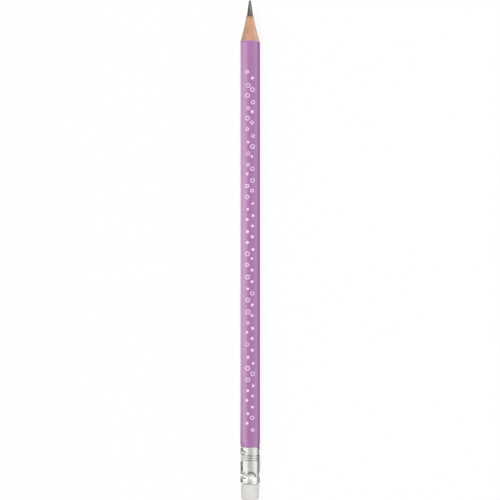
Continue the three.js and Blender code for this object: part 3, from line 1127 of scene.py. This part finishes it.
class PENCIL_OT_print(bpy.types.Operator):
    """Prints small rings, diamonds and dots along one face"""

    bl_idname = "pencil.print"
    bl_label = "Print"

    def execute(self, context):
        values = mark_values(context.scene.pencil_sizes)
        tree = marks_tree(values, ink_finish(context.scene.pencil_colours))
        add_piece("printed_marks", grown_mesh("printed_marks", tree, values), "lacquer")
        return {"FINISHED"}


class PENCIL_OT_ferrule(bpy.types.Operator):
    """Makes the ferrule with its rings, stakes and crimps"""

    bl_idname = "pencil.ferrule"
    bl_label = "Ferrule"

    def execute(self, context):
        values = ferrule_values(context.scene.pencil_sizes)
        tree = ferrule_tree(values, metal_finish(context.scene.pencil_colours))
        mesh = grown_mesh("ferrule_tube", tree, values)
        add_piece("ferrule_tube", mesh, "ferrule_metal", "ferrule")
        return {"FINISHED"}


class PENCIL_OT_eraser(bpy.types.Operator):
    """Makes the rubber plug and its free end"""

    bl_idname = "pencil.eraser"
    bl_label = "Eraser"

    def execute(self, context):
        sizes = context.scene.pencil_sizes
        edge = sizes.eraser_edge
        end_radius = ERASER_RADIUS - sizes.eraser_taper
        flat = end_radius - edge
        profile = [(END_X, 0.0)]
        for share in shares(DOME_STEPS):
            profile.append((END_X + sizes.eraser_dome * share**2, flat * share))
        for share in shares(EDGE_STEPS):
            turn = TURN / 4 * share
            depth = sizes.eraser_dome + (edge - sizes.eraser_dome) * (1 - math.cos(turn))
            profile.append((END_X + depth, flat + edge * math.sin(turn)))
        swell_start = RIM_X - sizes.eraser_swell
        for share in shares(ERASER_STEPS):
            x = mixed(END_X + edge, swell_start, share)
            profile.append((x, mixed(end_radius, ERASER_RADIUS, share)))
        bore = RIM_REACH - sizes.rim_curl - sizes.wall - sizes.fit
        gripped = RIM_REACH - sizes.rim_flare - sizes.wall - sizes.crimp_depth - sizes.fit
        for share in shares(SWELL_STEPS):
            profile.append((mixed(swell_start, RIM_X, share), mixed(ERASER_RADIUS, bore, share**2)))
        curl_end = RIM_X + sizes.curl_length
        grip_start = curl_end + sizes.crimp_from_rim - sizes.crimp_height
        profile += [(curl_end, bore), (grip_start, gripped), (PLUG_X, gripped), (PLUG_X, 0.0)]
        finish = rubber_finish(context.scene.pencil_colours)
        mesh = finished_mesh("eraser_plug", skin(lathe(profile, ERASER_SIDES)), finish)
        add_piece("eraser_plug", mesh, "eraser_rubber", "eraser")
        return {"FINISHED"}


# Stage

def add_sheet(name, corner, side, rise, material):
    """A flat sheet, from one corner and the two edges that start there."""
    start, side, rise = Vector(corner), Vector(side), Vector(rise)
    mesh = bpy.data.meshes.new(name)
    mesh.from_pydata((start, start + side, start + side + rise, start + rise), [], [(0, 1, 2, 3)])
    mesh.materials.append(material)
    return add_object(name, mesh)


def add_card(name, radiance, tint, corner, side, rise):
    """A studio card that only reflections see."""
    material = bpy.data.materials.new(name)
    material.use_nodes = True
    graph = Graph(material.node_tree)
    material.node_tree.nodes.clear()
    light = graph.result("ShaderNodeEmission", {"Color": tint, "Strength": radiance})
    graph.node("ShaderNodeOutputMaterial", {"Surface": light})
    card = add_sheet(name, corner, side, rise, material)
    for kind in ("camera", "diffuse", "shadow", "transmission"):
        setattr(card, f"visible_{kind}", False)


def rays(graph, *kinds):
    """1 for rays of these kinds."""
    path = graph.node("ShaderNodeLightPath")
    found, *others = [graph.wire(path, f"Is {kind} Ray") for kind in kinds]
    for other in others:
        found = found.math("MAXIMUM", other)
    return found


def add_floor():
    """A pale floor that keeps the pencil's shadow, with a painted highlight that glows in reflections
    beside the pencil.
    """
    finish = Finish("pale_floor", Roughness=0.9, Specular_IOR_Level=0.0)
    camera = rays(finish, "Camera")
    glossy = rays(finish, "Glossy", "Transmission")
    across = finish.split(finish.coordinates)[1].math("ABSOLUTE")
    beside = across.spread(FLOOR_DARK_REACH, FLOOR_BRIGHT_REACH)
    beyond = across.spread(FLOOR_BRIGHT_REACH, FLOOR_DIM_REACH)
    # Painted highlight: the floor glows for glossy rays beside the pencil
    glint = glossy * beside * (beyond * (FAR_GLINT - NEAR_GLINT) + NEAR_GLINT)
    tone = camera * (FLOOR_SHADOW - FLOOR_TONE) + FLOOR_TONE
    finish.paint(finish.joined(tone, tone, tone))
    finish.shader.inputs["Emission Color"].default_value = PLAIN_TINT
    finish.feed(finish.shader.inputs["Emission Strength"], camera * FLOOR_WHITE + glint)
    corner = (-FLOOR_REACH, -FLOOR_REACH, 0.0)
    side, rise = (2 * FLOOR_REACH, 0.0, 0.0), (0.0, 2 * FLOOR_REACH, 0.0)
    floor = add_sheet("floor", corner, side, rise, finish.material)


def add_softbox(name, size, radiance, place):
    """A soft rectangular light that faces the pencil."""
    light = bpy.data.lights.new(name, "AREA")
    light.shape = "RECTANGLE"
    light.size, light.size_y = size
    light.energy = radiance * math.pi * size[0] * size[1]
    softbox = add_object(name, light)
    softbox.location = place
    softbox.rotation_euler = Vector(place).to_track_quat("Z", "Y").to_euler()
    return softbox


def add_world():
    """An even pale room."""
    world = bpy.data.worlds.new("pale_room")
    world.use_nodes = True
    bpy.context.scene.world = world
    graph = Graph(world.node_tree)
    room = world.node_tree.nodes["Background"]
    room.inputs["Color"].default_value = PLAIN_TINT
    seen = rays(graph, "Camera", "Glossy", "Transmission")
    graph.feed(room.inputs["Strength"], seen * (1.0 - ROOM_FILL) + ROOM_FILL)


def add_camera():
    """Looks square at the printed face, with the point up."""
    outward = Vector((0.0, -math.cos(VIEW_ELEVATION), math.sin(VIEW_ELEVATION)))
    up = Vector((1.0, 0.0, 0.0))
    right = up.cross(outward)
    data = bpy.data.cameras.new("view")
    data.lens = data.sensor_width * VIEW_DISTANCE / VIEW_SPAN
    camera = add_object("view", data)
    turn = Matrix((right, up, outward)).transposed()
    middle = Vector((0.0, 0.0, AXIS_Z))
    camera.matrix_world = Matrix.Translation(middle + outward * VIEW_DISTANCE) @ turn.to_4x4()
    bpy.context.scene.camera = camera


class PENCIL_OT_stage(bpy.types.Operator):
    """Sets up the floor, the light and the view"""

    bl_idname = "pencil.stage"
    bl_label = "Stage"

    def execute(self, context):
        context.scene.view_settings.view_transform = "Standard"
        add_floor()
        top = add_softbox("softbox", SOFTBOX_SIZE, SOFTBOX_RADIANCE, (0.0, 0.0, SOFTBOX_HEIGHT))
        fill = add_softbox("front_fill", FILL_SIZE, FILL_RADIANCE, FILL_PLACE)
        for light in (top, fill):
            light.visible_glossy = False
        add_world()
        for card in CARDS:
            add_card(*card)
        add_camera()
        return {"FINISHED"}


class PENCIL_PT_pieces(bpy.types.Panel):
    """Lists the pencil's pieces and their sizes and colours"""

    bl_label = "Triangular pencil"
    bl_space_type = "VIEW_3D"
    bl_region_type = "UI"
    bl_category = "Pencil"

    def draw(self, context):
        for operator in OPERATORS:
            self.layout.operator(operator.bl_idname)
        for group in (context.scene.pencil_sizes, context.scene.pencil_colours):
            box = self.layout.box()
            for name in group.__annotations__:
                box.prop(group, name)


OPERATORS = (
    PENCIL_OT_lead,
    PENCIL_OT_slats,
    PENCIL_OT_lacquer,
    PENCIL_OT_print,
    PENCIL_OT_ferrule,
    PENCIL_OT_eraser,
    PENCIL_OT_stage,
)
CLASSES = (PencilSizes, PencilColours, *OPERATORS, PENCIL_PT_pieces)


def register():
    for kind in CLASSES:
        bpy.utils.register_class(kind)
    bpy.types.Scene.pencil_sizes = PointerProperty(type=PencilSizes)
    bpy.types.Scene.pencil_colours = PointerProperty(type=PencilColours)


def unregister():
    del bpy.types.Scene.pencil_colours
    del bpy.types.Scene.pencil_sizes
    for kind in reversed(CLASSES):
        bpy.utils.unregister_class(kind)


def main():
    """Makes every piece in order, then the stage."""
    register()
    bpy.ops.pencil.lead()
    bpy.ops.pencil.slats()
    bpy.ops.pencil.lacquer()
    bpy.ops.pencil.print()
    bpy.ops.pencil.ferrule()
    bpy.ops.pencil.eraser()
    bpy.ops.pencil.stage()


if __name__ == "__main__":
    main()
